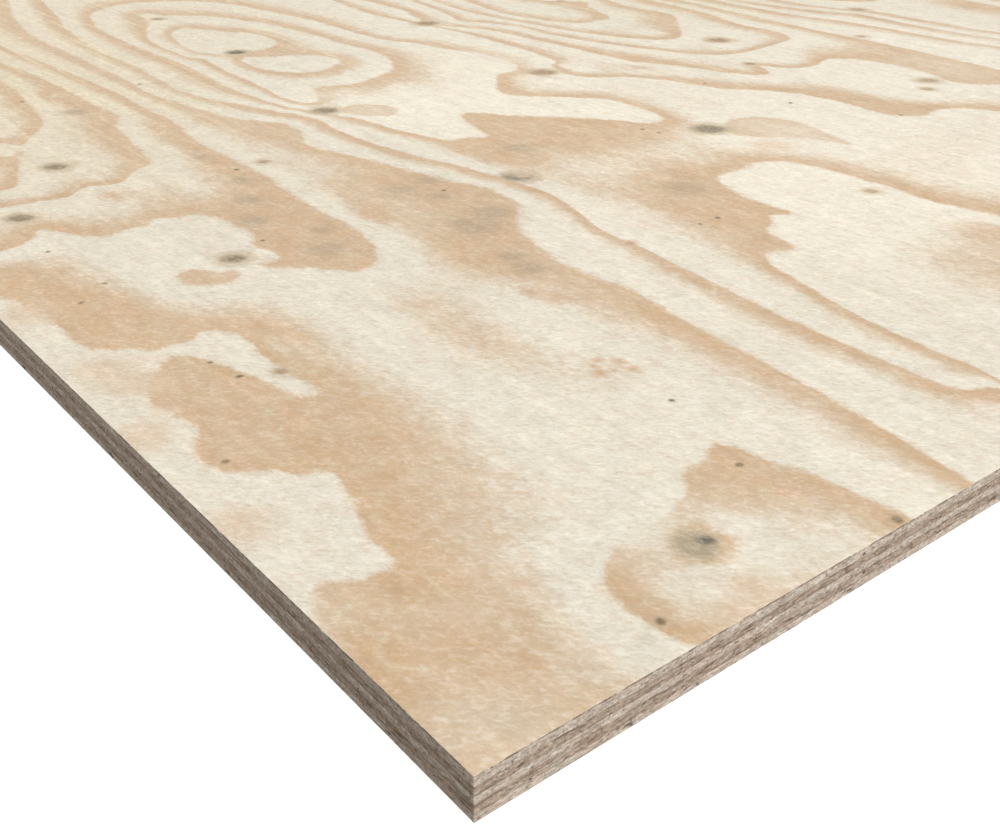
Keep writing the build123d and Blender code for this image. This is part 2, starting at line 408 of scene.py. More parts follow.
# Knots, pin knots and stains: across, along, radius, radius of the halo, kind
faceMarks = [
    (129.5, 37, 9.9, 12.4, "bigKnot"), (128, 382, 8.5, 14, "greyKnot"), (341, 396, 11, 16, "darkKnot"),
    (521, 395, 14, 19, "oliveKnot"), (538, 603, 14, 19, "brownKnot"), (579, 832, 14, 20, "brownKnot"),
    (367, 833, 10, 13, "darkKnot"), (375, 1019, 7, 11, "brownKnot"), (327, 612, 12, 16, "greyKnot"),
    (112, 602, 9, 14, "greyKnot"), (59, 518, 9, 13, "greyKnot"), (226, 527, 6, 10, "softKnot"),
    (752, 598, 13, 18, "brownKnot"), (701, 515, 6, 9, "brownKnot"), (873, 525, 6, 10, "softKnot"),
    (981, 610, 11, 16, "softKnot"), (773, 382, 11, 15, "softKnot"), (748, 366, 7, 10, "softKnot"),
    (497, 236, 6, 9, "softKnot"), (80, 247, 4.5, 8, "softKnot"), (314, 265, 4, 6, "pinkKnot"),
    (763, 840, 6, 8, "softKnot"), (198, 119, 1.7, 2.8, "pin"), (384, 263, 2.2, 3.6, "pin"),
    (368, 262, 1.7, 2.8, "pin"), (481, 426, 2.2, 3.6, "pin"), (484, 412, 1.8, 3, "pin"),
    (285, 404, 2.2, 4, "pin"), (24, 192, 2, 3.5, "pin"), (88, 16, 2.4, 4.5, "pin"), (197, 4, 3, 5, "pin"),
    (181, 65, 2.2, 3.8, "pin"), (63, 254, 2.2, 4, "pin"), (59, 275, 1.8, 3, "pin"),
    (39, 376, 1.8, 3, "pin"), (58, 393, 1.8, 3, "pin"), (51, 455, 1.6, 2.8, "pin"),
    (168, 430, 3, 5, "softKnot"), (153, 397, 1.8, 3, "pin"), (203, 523, 2.4, 4, "pin"),
    (625, 407, 2.2, 4, "pin"), (663, 332, 2.4, 4, "pin"), (618, 492, 2, 3.6, "pin"),
    (152, 782, 2.2, 4, "pin"), (248, 778, 2, 3.6, "pin"), (250, 290, 8, 17, "stain"),
    (247, 271, 11, 24, "stain"), (175, 722, 7, 13, "stain"), (195, 500, 8, 16, "stain"),
    (190, 390, 8, 16, "stain"), (197, 563, 7, 14, "stain"), (381, 445, 12, 26, "stain"),
    (173, 727, 9, 18, "stain"), (267, 420, 10, 22, "stain"), (410, 312, 16, 34, "stain"),
    (176, 362, 12, 26, "stain"), (264, 338, 16, 34, "stain"), (181, 463, 10, 22, "stain"),
    (40, 60, 10, 20, "blush"), (166, 427, 11, 24, "stain"), (286, 352, 14, 30, "stain"),
    (8, 230, 14, 28, "blush"), (8, 149, 14, 28, "blush"), (14, 378, 14, 28, "blush"),
    (20, 297, 14, 28, "blush"), (26, 276, 15, 30, "blush"), (526, 339, 16, 32, "blush"),
    (292, 425, 10, 20, "stain"), (278, 395, 8, 18, "stain"), (262, 350, 7, 16, "stain"),
    (191, 157, 2.8, 5, "spot"), (194, 164, 1.5, 3, "spot"), (200, 167, 2.4, 4, "spot"),
    (206, 160, 2.6, 4.8, "spot"), (206, 151, 2.4, 4.4, "spot"), (198, 155, 1.3, 2.6, "spot"),
    (126, 9, 9, 18, "blush"), (112, 5, 6, 12, "blush"), (232, 232, 5, 10, "spot"), (226, 246, 4, 8, "spot"),
    (345, 398, 8, 16, "blush"), (66, 58, 8, 16, "blush"), (172, 268, 10, 22, "blush"),
]

markKinds = {  # colours of the heart, the core and the halo, cover of each, depth in mm
    "bigKnot": ((74, 80, 72), (162, 151, 126), (212, 184, 148), (0.95, 0.85, 0.92), 0.25),
    "greyKnot": ((130, 114, 88), (160, 143, 115), (203, 184, 154), (0.85, 0.85, 0.6), 0.12),
    "darkKnot": ((92, 82, 64), (140, 126, 102), (200, 178, 148), (0.95, 0.92, 0.7), 0.15),
    "oliveKnot": ((116, 106, 84), (146, 132, 106), (202, 184, 152), (0.8, 0.9, 0.7), 0.15),
    "brownKnot": ((150, 122, 92), (178, 152, 121), (208, 188, 158), (0.8, 0.8, 0.6), 0.15),
    "softKnot": ((164, 138, 108), (190, 166, 136), (212, 194, 166), (0.7, 0.7, 0.5), 0.12),
    "pinkKnot": ((184, 150, 118), (206, 176, 148), (220, 192, 168), (0.65, 0.65, 0.7), 0.1),
    "pin": ((108, 92, 66), (146, 126, 96), (194, 176, 148), (0.8, 0.8, 0.5), 0.08),
    "stain": ((170, 150, 126), (176, 154, 128), (190, 166, 136), (0.1, 0.5, 0.4), 0.0),
    "blush": ((216, 190, 162), (218, 192, 164), (220, 198, 170), (0.1, 0.5, 0.5), 0.0),
    "spot": ((200, 170, 140), (208, 180, 150), (216, 190, 162), (0.4, 0.9, 0.85), 0.0),
}

markLook = {
    "seeds": {"face": 61, "back": 71},
    "ground": (196, 176, 148),
    "soft": ("stain", "pin", "blush"),  # kinds whose halo fades all the way
    "squeeze": (1.0, 1.2),
    "large": 4,  # mm of radius from which a mark leans as the knots in the photograph do
    "lean": (-0.67, 1.08),  # radians, squeeze
    "bigLean": (-0.67, 0.92),
    "reach": 1.8,  # in halos
    "lobes": ((3, 0.08, 1), (5, 0.06, -1)),  # how many round the outline, their height, way they are turned
    "halo": (1.06, 0.16),  # where it ends and how soon, in halos
    "core": (1.2, 0.75, 0.18),  # where it ends, how soon, how far it lies aside, in radii
    "heart": (0, 0, 0.9, 0.8),  # place and size in radii
    "bigHeart": (0.22, 0.26, 0.42, 0.26),  # a short dark streak off the middle
    "heartEdge": 1.25,
    "dip": (0.7, 0.3),  # even share and wavy share
}

whorlLook = {  # knots sit in rows across the grain, one turn of the log apart
    "seeds": {"face": 31, "back": 43},
    "rows": {"face": [1245, 1490, 1722, 1935, 2180, 2395],
             "back": [140, 372, 640, 905, 1245, 1490, 1722, 1935, 2180, 2395]},
    "turn": 213,
    "firstKnot": 20,
    "knots": 6,  # to a row
    "missing": 0.12,
    "wander": (8, 26),  # mm across and along the grain
    "radius": (4, 9),
    "halo": 1.45,  # in radii
    "kinds": ["greyKnot", "darkKnot", "brownKnot", "softKnot"],
    "pins": 7,
    "pinWander": 110,
    "pinRadius": (1.1, 2.2),
    "pinHalo": 3.2,
    "acrossRoom": (15, 1205),
    "alongRoom": (12, 2428),
}


def moreMarks(side):
    look = whorlLook
    random = np.random.default_rng(look["seeds"][side])
    left, right = look["acrossRoom"]
    wanderAcross, wanderAlong = look["wander"]
    marks = []
    for along in look["rows"][side]:
        start = random.uniform(look["firstKnot"], look["turn"])
        for k in range(look["knots"]):
            across = start + k * look["turn"] + random.normal() * wanderAcross
            if not left < across < right or random.random() < look["missing"]:
                continue
            radius = random.uniform(*look["radius"])
            kind = look["kinds"][random.integers(len(look["kinds"]))]
            marks.append((across, along + random.normal() * wanderAlong, radius, radius * look["halo"], kind))
        for k in range(look["pins"]):
            spot = random.uniform(left, right), along + random.uniform(-look["pinWander"], look["pinWander"])
            marks.append((*spot, random.uniform(*look["pinRadius"]), look["pinHalo"], "pin"))
    start, end = look["alongRoom"]
    return [mark for mark in marks if start < mark[1] < end]


def markLayers(across, along, marks, side):
    # Cover, colour and depth of all the marks at any points
    look = markLook
    random = np.random.default_rng(look["seeds"][side])
    cover, depth = np.zeros(len(across)), np.zeros(len(across))
    tone = np.tile(colour(*look["ground"])[:3], (len(across), 1))
    coreEnd, coreFade, coreAside = look["core"]
    for u, v, radius, halo, kind in marks:
        heart, core, rim, covers, dip = markKinds[kind]
        tilt, squeeze = random.uniform(0, math.pi), random.uniform(*look["squeeze"])
        phase = random.uniform(0, 6)
        if radius > look["large"]:
            tilt, squeeze = look["bigLean" if kind == "bigKnot" else "lean"]
        near = np.flatnonzero(np.maximum(abs(across - u), abs(along - v)) < look["reach"] * halo)
        du, dv = across[near] - u, along[near] - v
        a = du * math.cos(tilt) + dv * math.sin(tilt)
        b = (dv * math.cos(tilt) - du * math.sin(tilt)) * squeeze
        angle = np.arctan2(b, a)
        lobes = sum(high * np.cos(count * angle + way * phase) for count, high, way in look["lobes"])
        haloEnd, haloFade = (1, 1) if kind in look["soft"] else look["halo"]
        inHalo = np.clip((haloEnd * halo - np.hypot(a, b) * (1 + lobes)) / (haloFade * halo), 0, 1)
        aside = np.hypot(a + coreAside * radius, b)
        inCore = np.clip((coreEnd * radius - aside) / (coreFade * radius), 0, 1)
        heartA, heartB, sizeA, sizeB = look["bigHeart" if kind == "bigKnot" else "heart"]
        inHeart = np.hypot((a / radius - heartA) / sizeA, (b / radius - heartB) / sizeB)
        inHeart = np.clip(look["heartEdge"] - inHeart, 0, 1)
        for layer, layerTone, share in zip((inHalo, inCore, inHeart), (rim, core, heart), covers[::-1]):
            layer = share * eased(layer)
            joined = layer + cover[near] * (1 - layer)
            weight = (layer / np.maximum(joined, 1e-6))[:, None]
            tone[near] += (np.array(colour(*layerTone)[:3]) - tone[near]) * weight
            cover[near] = joined
        even, wavy = look["dip"]
        depth[near] += dip * inCore * (even + wavy * np.cos(2 * angle + phase))
    return cover, tone, depth


# Points over the broad sides of the two outer veneers, closer together where more is to be seen
meshLook = {
    "inView": [(0, 0), (300, 0), (1190, 535), (300, 1270), (0, 420)],  # the photograph's part, with a margin
    "closeReach": 430,
    "closeSpacing": (3.5, 3.5),  # across and along the grain
    "viewSpacing": (4.8, 7.6),
    "restSpacing": (9.5, 17),
    "backSpacing": (8.5, 15),
    "rowRatio": 0.866,  # of points in rows of equal triangles
    "rimGap": 2.2,
    "markRimGap": 1.2,
    "plainMark": 5,  # a stain with more mm of radius than this needs no points of its own
    "markReach": 1.35,  # in halos
    "markRoom": 0.8,
    "knotPoints": (18, np.arange(0.18, 1.4, 0.18)),  # points to a ring, rings in radii
    "pinPoints": (10, np.array([0.4, 0.8, 1.2])),
    "pinSize": 3,
}


def fromRim(points):
    return np.minimum(points, sheetSize - points).min(1)


def hexPoints(spacing):
    columnStep, rowStep = spacing[0], spacing[1] * meshLook["rowRatio"]
    rows = np.arange(0.5, sheetSize[1] / rowStep) * rowStep
    columns = np.arange(0, sheetSize[0] / columnStep + 1) * columnStep
    across, along = np.meshgrid(columns, rows)
    across = across + (np.arange(len(rows)) % 2)[:, None] * columnStep / 2
    points = np.stack([across.ravel(), along.ravel()], 1)
    return points[fromRim(points) > meshLook["rimGap"]]


def insideShape(across, along, outline):
    inside = np.zeros(len(across), bool)
    for (u1, v1), (u2, v2) in zip(outline, outline[1:] + outline[:1]):
        crosses = (v1 > along) != (v2 > along)
        inside ^= crosses & (across < (u2 - u1) * (along - v1) / (v2 - v1 + 1e-9) + u1)
    return inside


def broadPoints(marks, side):
    look = meshLook
    if side == "face":
        parts = []
        for zone, key in enumerate(("closeSpacing", "viewSpacing", "restSpacing")):
            points = hexPoints(look[key])
            seen = insideShape(*points.T, look["inView"])
            close = seen & (np.hypot(*points.T) < look["closeReach"])
            parts.append(points[(close, seen & ~close, ~seen)[zone]])
        points = np.vstack(parts)
    else:
        points = hexPoints(look["backSpacing"])
    free = np.ones(len(points), bool)
    added = []
    for u, v, radius, halo, kind in marks:
        if kind in ("stain", "blush") and radius > look["plainMark"]:
            continue
        outer = look["markReach"] * halo
        free &= np.hypot(points[:, 0] - u, points[:, 1] - v) > outer + look["markRoom"]
        turns, rings = look["knotPoints" if radius > look["pinSize"] else "pinPoints"]
        rings = radius * rings
        for k, ring in enumerate([*rings, 0.5 * (rings[-1] + outer), outer]):
            angle = (np.arange(turns) + 0.5 * (k % 2)) * 2 * math.pi / turns
            added.append(np.stack([u + ring * np.cos(angle), v + ring * np.sin(angle)], 1))
        added.append([(u, v)])
    points = np.vstack([points[free], *added])
    return points[fromRim(points) > look["markRimGap"]]


# The edge of the sheet is followed round in columns, starting at the corner nearest the camera
edgeLook = {
    "seed": 11,
    "fineStep": 1.4,
    "coarseStep": 11.0,
    "fineReach": (300, 430),  # mm of fine columns along the short and the long side
    "coarsening": 120,  # mm over which the columns then spread out
    "closing": 5,  # mm allowed from the last column back to the first
    "corner": 0.45,
    "cornerSteps": 4,
    "sharpAngle": 50,
    "arris": 0.4,
    "arrisTurns": (0, 25, 50, 72),  # degrees round the arris at which a row lies
    "arrisDark": {"face": 50, "back": 15},  # degrees over which it darkens
    "arrisShade": 0.75,
    "firstShade": 0.8,  # of the row just past the arris
    "rowStep": 0.6,
    "leastRows": 6,
    "glueWaves": ((45, 0.12), (9, 0.04)),  # mm: length and height of the glue lines' wander
    "glueWaveLimit": 0.3,
    "grooveDepth": 0.06,
    "grooveReach": 0.2,
    "fibre": 0.024,
    "fibreWaves": ((5, 0.6), (17, 0.5)),
    "tear": (0.08, 9, 1.15, 1.5),  # mm deep, mm long, how rare, how deep at most
    "glueBreaks": (26, 0.55, 0.5),  # mm long, even share, broken share
    "pit": (1.5, 0.7, 0.8, 2.2),  # length, height and depth in sizes, shade
}

# Small voids in the edge: side, distance from the near corner, depth below the face, size
edgePits = [
    ("short", 59, 16.6, 1.0), ("short", 167, 16.8, 1.1), ("short", 65.5, 3.0, 0.5),
    ("short", 173.5, 3.1, 0.5), ("long", 48, 16.9, 1.1), ("long", 153, 16.8, 1.0),
    ("long", 258, 17.0, 1.1), ("long", 362, 16.9, 1.0),
]


def stepsAlong(length, fineStart, fineEnd):
    places = [0.0]
    while places[-1] < length:
        near = min(max(0, places[-1] - fineStart), max(0, length - fineEnd - places[-1]))
        spread = min(1, near / edgeLook["coarsening"])
        step = edgeLook["fineStep"] + spread * (edgeLook["coarseStep"] - edgeLook["fineStep"])
        places.append(places[-1] + step)
    return np.array(places) * length / places[-1]


def edgeColumns():
    radius, steps = edgeLook["corner"] * mm, edgeLook["cornerSteps"]
    length, width = xHigh - xLow - 2 * radius, yHigh - yLow - 2 * radius
    shortFine, longFine = edgeLook["fineReach"]
    none = -1e5  # far off, so that no column there is fine
    sides = [
        ((xHigh, yLow + radius), (0, 1), width, shortFine, none),
        ((xHigh - radius, yHigh), (-1, 0), length, none, none),
        ((xLow, yHigh - radius), (0, -1), width, none, none),
        ((xLow + radius, yLow), (1, 0), length, none, longFine),
    ]
    places, outward = [], []
    for (x, y), (dx, dy), run, fineStart, fineEnd in sides:
        for s in stepsAlong(run / mm, fineStart, fineEnd)[:-1] * mm:
            places.append((x + dx * s, y + dy * s))
            outward.append((dy, -dx))
        centreX, centreY = x + dx * run - dy * radius, y + dy * run + dx * radius
        for turn in np.arange(steps) / steps * math.pi / 2:
            outX = dy * math.cos(turn) + dx * math.sin(turn)
            outY = -dx * math.cos(turn) + dy * math.sin(turn)
            places.append((centreX + outX * radius, centreY + outY * radius))
            outward.append((outX, outY))
    places, outward = np.array(places), np.array(outward)
    around = np.append(0, np.cumsum(np.hypot(*np.diff(places, axis=0).T))) / mm
    return places, outward, around


def noiseAround(around, reach, random):
    # Smooth noise that closes on itself round the sheet
    total = around[-1] + edgeLook["closing"]
    count = int(total / reach)
    values = random.normal(size=count)
    t = around / total * count
    k = np.floor(t).astype(int)
    share = eased(t - k)
    return values[k % count] * (1 - share) + values[(k + 1) % count] * share


def wavesAround(around, waves, random):
    return sum(height * noiseAround(around, reach, random) for reach, height in waves)


def capTriangles(ring, inner):
    points = [Vector((float(x), float(y))) for x, y in np.vstack([ring, inner])]
    return np.array(delaunay_2d_cdt(points, [], [list(range(len(ring)))], 1, 1e-9)[2], int)


hiddenLook = {  # mm, for the points on the glued sides, which nobody sees
    "rings": ((12, 6), (40, 16)),  # inset, and a point every so many columns
    "grid": (100, 90, 80),  # first inset, last inset, step
    "margin": 8,
}


def hiddenPoints(columns):
    places, outward, around = columns
    inner = [(places - outward * inset * mm)[::every] for inset, every in hiddenLook["rings"]]
    first, last, step = (distance * mm for distance in hiddenLook["grid"])
    x, y = (np.arange(low + first, high - last, step) for low, high in ((xLow, xHigh), (yLow, yHigh)))
    points = np.vstack([*inner, np.stack(np.meshgrid(x, y), 2).reshape(-1, 2)])
    return points[fromRim(np.stack(planPlaces(*points.T), 1)) > hiddenLook["margin"]]


# Dark lines that the edge shows: mm below the veneer's upper side, width, strength
glueLines = {
    "face_veneer": [(3.9, 0.3, 0.5)],
    "upper_crossband": [(0.1, 0.35, 0.7), (3.3, 0.3, 0.4)],
    "core_veneer": [(2.9, 0.3, 0.4)],
    "lower_crossband": [(0.2, 0.35, 0.7), (3.9, 0.3, 0.5)],
    "back_veneer": [(0.1, 0.25, 0.4)],
}


def arrisRows(level, side):
    # From the broad side down or up to the edge; the rounded arris rows get painted shade
    look = edgeLook
    rows = []
    for turn in look["arrisTurns"]:
        swing = math.radians(turn)
        drop = look["arris"] * (1 - math.cos(swing))
        back = np.full(len(level), look["arris"] * (1 - math.sin(swing)))
        dark = min(1, turn / look["arrisDark"][side]) * look["arrisShade"]
        rows.append((level - drop if side == "face" else level + drop, back, np.full(len(level), dark)))
    return rows


def wallRows(name, upper, lower, around, seed):
    # Rows of one veneer's edge from the top down: height, set back from the sheet's outline, and darkness for
    # the glue lines, with painted shade at the arris and in the pits
    look = edgeLook
    random = np.random.default_rng(seed)
    isFace, isBack = faceOrBack(name)
    thickness = (upper - lower).mean()
    shares = np.linspace(0, 1, max(look["leastRows"], round(thickness / look["rowStep"])) + 1)
    if isFace:
        shares[0] = look["arris"] / thickness
    if isBack:
        shares[-1] = 1 - look["arris"] / thickness
    nextToArris = shares[0] if isFace else shares[-1] if isBack else None
    tearDepth, tearLength, rarity, deepest = look["tear"]
    breakLength, evenShare, brokenShare = look["glueBreaks"]
    pitLength, pitHeight, pitDepth, pitShade = look["pit"]
    rows = []
    for share in shares:
        height = upper - share * (upper - lower)
        back = look["fibre"] * (1 + np.clip(wavesAround(around, look["fibreWaves"], random), -1, 2))
        back += tearDepth * np.clip(noiseAround(around, tearLength, random) - rarity, 0, deepest)
        for glued, there in ((upper, not isFace), (lower, not isBack)):
            if there:
                back += look["grooveDepth"] * np.exp(-((height - glued) / look["grooveReach"]) ** 2)
        dark = np.zeros(len(around))
        # The row just past the arris lies on the outline and gets painted shade
        if share == nextToArris:
            back *= 0
            dark += look["firstShade"]
        for depth, width, strength in glueLines[name]:
            broken = np.clip(evenShare + brokenShare * noiseAround(around, breakLength, random), 0, 1)
            dark = np.maximum(dark, strength * broken * np.exp(-((upper - height - depth) / width) ** 2))
        for side, distance, below, size in edgePits:
            centre = distance if side == "short" else around[-1] + look["closing"] - distance
            outwards = (zHigh / mm - height - below) / (pitHeight * size)
            pit = np.exp(-((around - centre) / (pitLength * size)) ** 2 - outwards ** 2)
            back += pitDepth * size * pit
            dark = np.maximum(dark, pitShade * pit)
        rows.append((height, back, np.clip(dark, 0, 2)))
    if isFace:
        rows = arrisRows(upper, "face") + rows
    if isBack:
        rows += arrisRows(lower, "back")[::-1]
    return rows


def storeValues(mesh, name, values):
    mesh.attributes.new(name, "FLOAT", "POINT").data.foreach_set("value", np.asarray(values, np.float32))


def storeColours(mesh, name, colours):
    full = np.hstack([colours, np.ones((len(colours), 1))]).astype(np.float32)
    mesh.attributes.new(name, "FLOAT_COLOR", "POINT").data.foreach_set("color", full.ravel())


def closedVeneer(name, rows, columns, topInner, bottomInner, broadFinish, edgeFinish):
    places, outward, around = columns
    count = len(places)
    walls = [np.column_stack([places - outward * back[:, None] * mm, height * mm])
             for height, back, dark in rows]
    points = np.vstack([*walls, topInner, bottomInner])
    lastRow = (len(rows) - 1) * count
    topStart = len(rows) * count
    bottomStart = topStart + len(topInner)
    top = capTriangles(walls[0][:, :2], topInner[:, :2])
    top = np.where(top < count, top, top - count + topStart)
    bottom = capTriangles(walls[-1][:, :2], bottomInner[:, :2])[:, ::-1]
    bottom = np.where(bottom < count, bottom + lastRow, bottom - count + bottomStart)
    here = np.arange(lastRow)
    after = here - here % count + (here + 1) % count  # the next column of the same row
    quads = np.stack([here, here + count, after + count, after], 1)
    mesh = bpy.data.meshes.new(name)
    mesh.from_pydata(points.tolist(), [], quads.tolist() + top.tolist() + bottom.tolist())
    isFace, isBack = faceOrBack(name)
    slots = np.ones(len(mesh.polygons), int)  # 0 for a broad side and the first row of its arris
    if isFace:
        slots[len(quads):len(quads) + len(top)] = 0
        slots[:count] = 0
    if isBack:
        slots[len(quads) + len(top):] = 0
        slots[len(quads) - count:len(quads)] = 0
    mesh.materials.append(broadFinish)
    mesh.materials.append(edgeFinish)
    mesh.polygons.foreach_set("material_index", slots)
    mesh.polygons.foreach_set("use_smooth", np.ones(len(mesh.polygons), bool))
    mesh.set_sharp_from_angle(angle=math.radians(edgeLook["sharpAngle"]))
    inside = np.zeros(len(topInner) + len(bottomInner))
    storeValues(mesh, "glueLineAndPaintedShade", np.concatenate([*[dark for height, back, dark in rows], inside]))
    piece = addObject(name + "_finish", mesh)
    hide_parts(name)
    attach(piece, "root")
    print(piece.name, "has", len(quads) * 2 + len(top) + len(bottom), "triangles")
    return piece, points


def dressBroadSide(piece, points, rings, marks, side):
    across, along = planPlaces(points[:, 0], points[:, 1])
    cover, tone, depth = markLayers(across, along, marks, side)
    if side == "face":
        start, reach, least = figureLook["grain"]
        strength, lightness = faceStrength(across, along), toneAndPaintedLight(across, along)
        grain = np.clip((along - start) / reach, least, 1)
    else:
        strength, lightness, grain = (
            np.full(len(points), value) for value in (figureLook["backStrength"], 1, figureLook["backGrain"]))
    stored = {"ringNumber": rings, "ringStrength": strength, "toneAndPaintedLight": lightness, "grainShare": grain,
              "markCover": cover}
    for name, values in stored.items():
        storeValues(piece.data, name, values)
    storeColours(piece.data, "markColour", tone)


reliefLook = {  # mm: soft early wood lies lower, and the sheet is never quite flat
    "late": 0.05,
    "lateFrom": (0.5, 0.4, 0.05),  # where in a ring late wood begins, how soon it is full, how soon it ends
    "wave": 0.03,
    "waves": [(60, 90, 1, 24)],
    "rim": 4,  # where it all comes down to nothing
}


def broadSide(marks, side, ringsAt, level):
    # Inner points of a broad side and their ring numbers
    inner = broadPoints(marks, side)
    across, along = inner.T
    rings = ringsAt(across, along)
    start, rise, end = reliefLook["lateFrom"]
    part = rings - np.floor(rings)
    late = np.clip((part - start) / rise, 0, 1) * np.clip((1 - part) / end, 0, 1)
    wave = seededWaves(across, along, markLook["seeds"][side] + 1, reliefLook["waves"])
    low = reliefLook["late"] * (1 - late) + reliefLook["wave"] * np.clip(1 + wave * 0.5, 0, 2)
    low += markLayers(across, along, marks, side)[2]
    low *= np.clip(fromRim(inner) / reliefLook["rim"], 0, 1)
    height = level - low * mm if side == "face" else level + low * mm
    return np.column_stack([xHigh - along * mm, yLow + across * mm, height]), rings


def place(tree, kind, values=None, **settings):
    # A node with its settings, and its inputs linked or set
    node = tree.nodes.new("ShaderNode" + kind)
    for key, value in settings.items():
        setattr(node, key, value)
    for socket, value in (values or {}).items():
        if isinstance(value, bpy.types.NodeSocket):
            tree.links.new(value, node.inputs[socket])
        else:
            node.inputs[socket].default_value = value
    return node


def calc(tree, operation, *values, clamp=False):
    return place(tree, "Math", dict(enumerate(values)), operation=operation, use_clamp=clamp).outputs[0]


def blendColours(tree, share, a, b, mode="MIX"):
    return place(tree, "Mix", {0: share, 6: a, 7: b}, data_type="RGBA", blend_type=mode).outputs[2]


def paint(tree, base, *layers):
    # Colours laid over each other, each with its share
    for share, tint in layers:
        base = blendColours(tree, share, base, tint)
    return base


def ramp(tree, value, stops):
    node = place(tree, "ValToRGB", {0: value})
    marks = node.color_ramp.elements
    while len(marks) < len(stops):
        marks.new(1)
    for mark, (position, grey) in zip(marks, stops):
        mark.position = position
        mark.color = (grey, grey, grey, 1)
    return node.outputs[0]


def speckle(tree, vector, scale, detail, roughness, distortion=0):
    # Noise with its scale given along, across and through the sheet
    stretched = place(tree, "VectorMath", {0: vector, 1: scale}, operation="MULTIPLY").outputs[0]
    return place(tree, "TexNoise", {"Vector": stretched, "Scale": 1, "Detail": detail, "Roughness": roughness,
                                    "Distortion": distortion}).outputs["Fac"]


def newGroup(name, numbers):
    group = bpy.data.node_groups.new(name, "ShaderNodeTree")
    group.interface.new_socket("Vector", in_out="INPUT", socket_type="NodeSocketVector")
    for label, value in numbers.items():
        socket = group.interface.new_socket(label, in_out="INPUT", socket_type="NodeSocketFloat")
        socket.default_value = value
    return group, group.nodes.new("NodeGroupInput").outputs


def closeGroup(group, results):
    for label in results:
        group.interface.new_socket(label, in_out="OUTPUT", socket_type="NodeSocketFloat")
    given = group.nodes.new("NodeGroupOutput").inputs
    for label, result in results.items():
        group.links.new(result, given[label])
    return group


def useGroup(tree, group, values):
    return place(tree, "Group", values, node_tree=group).outputs


ringTexture = {  # each noise: scale along, across and through the sheet, detail, roughness
    "coarse": ((90, 170, 300), 3, 0.6),
    "fine": ((420, 640, 640), 2, 0.6),
    "fineShare": 0.6,
    "patches": ((100, 170, 170), 5, 0.7),
    "lateStops": [(0, 1), (0.02, 0.7), (0.05, 0.15), (0.1, 0),
                  (0.42, 0.02), (0.56, 0.24), (0.7, 0.66), (0.86, 1)],
    "blotches": ((55, 85, 85), 3, 0.6),
    "blotchStops": [(0.4, 1), (0.62, 0.84)],
    "height": 0.4,
}


def makeRingGroup():
    look = ringTexture
    numbers = {"Ring Number": 0, "Strength": 1, "Raggedness": 0.1, "Patchiness": 1}
    group, given = newGroup("growthRings", numbers)
    where = given["Vector"]
    fine = calc(group, "MULTIPLY", speckle(group, where, *look["fine"]), look["fineShare"])
    wander = calc(group, "ADD", speckle(group, where, *look["coarse"]), fine)
    wander = calc(group, "SUBTRACT", wander, 0.5 * (1 + look["fineShare"]))
    number = calc(group, "MULTIPLY_ADD", wander, given["Raggedness"], given["Ring Number"])
    part = calc(group, "FRACT", number)
    # The fading side of a band breaks up into patches, its sharp side doesn't
    middle = calc(group, "MULTIPLY", part, calc(group, "SUBTRACT", 1, part))
    patches = calc(group, "SUBTRACT", speckle(group, where, *look["patches"]), 0.5)
    patches = calc(group, "MULTIPLY", calc(group, "MULTIPLY", patches, given["Patchiness"]), middle)
    late = ramp(group, calc(group, "ADD", part, patches), look["lateStops"])
    blotches = ramp(group, speckle(group, where, *look["blotches"]), look["blotchStops"])
    late = calc(group, "MULTIPLY", calc(group, "MULTIPLY", late, given["Strength"]), blotches)
    return closeGroup(group, {"Latewood": late, "Height": calc(group, "MULTIPLY", late, look["height"])})


fleckTexture = {
    "askew": -45,  # degrees that the sander's belt ran off the grain
    "curls": ((170, 360, 360), 2, 0.6, 0.8),
    "crumbs": ((340, 720, 720), 1, 0.5, 0.4),
    "crumbShare": 0.75,
    "lightStops": [(0.5, 0), (0.62, 0.5), (0.76, 1)],
    "darkStops": [(0.22, 1), (0.36, 0.45), (0.46, 0)],
}


def makeFleckGroup():
    look = fleckTexture
    group, given = newGroup("curlyFlecks", {})
    skewed = place(group, "VectorRotate", {"Vector": given["Vector"], "Angle": math.radians(look["askew"])},
                   rotation_type="Z_AXIS").outputs[0]
    crumbs = calc(group, "SUBTRACT", speckle(group, skewed, *look["crumbs"]), 0.5)
    both = calc(group, "MULTIPLY_ADD", crumbs, look["crumbShare"], speckle(group, skewed, *look["curls"]))
    return closeGroup(group, {"Light Flecks": ramp(group, both, look["lightStops"]),
                              "Dark Flecks": ramp(group, both, look["darkStops"]), "Height": both})


fibreTexture = {
    "mottle": ((60, 90, 90), 6, 0.78),
    "grain": ((8, 210, 210), 3, 0.62),
    "dust": ((700, 1000, 1000), 2, 0.6),
    "tint": ((90, 130, 130), 4, 0.7),
    "shares": (0.6, 0.25, 0.3),  # of mottle, grain and dust
    "dustHeight": 0.5,
}


def makeFibreGroup():
    look = fibreTexture
    group, given = newGroup("woodFibre", {"Contrast": 1})
    mottle, grain, dust, tint = (
        speckle(group, given["Vector"], *look[key]) for key in ("mottle", "grain", "dust", "tint"))
    shade = -0.5 * sum(look["shares"])
    for noise, share in zip((mottle, grain, dust), look["shares"]):
        shade = calc(group, "MULTIPLY_ADD", noise, share, shade)
    return closeGroup(group, {
        "Shade": calc(group, "MULTIPLY", shade, given["Contrast"]), "Tint": tint, "Grain": grain,
        "Height": calc(group, "MULTIPLY_ADD", dust, look["dustHeight"], mottle)})


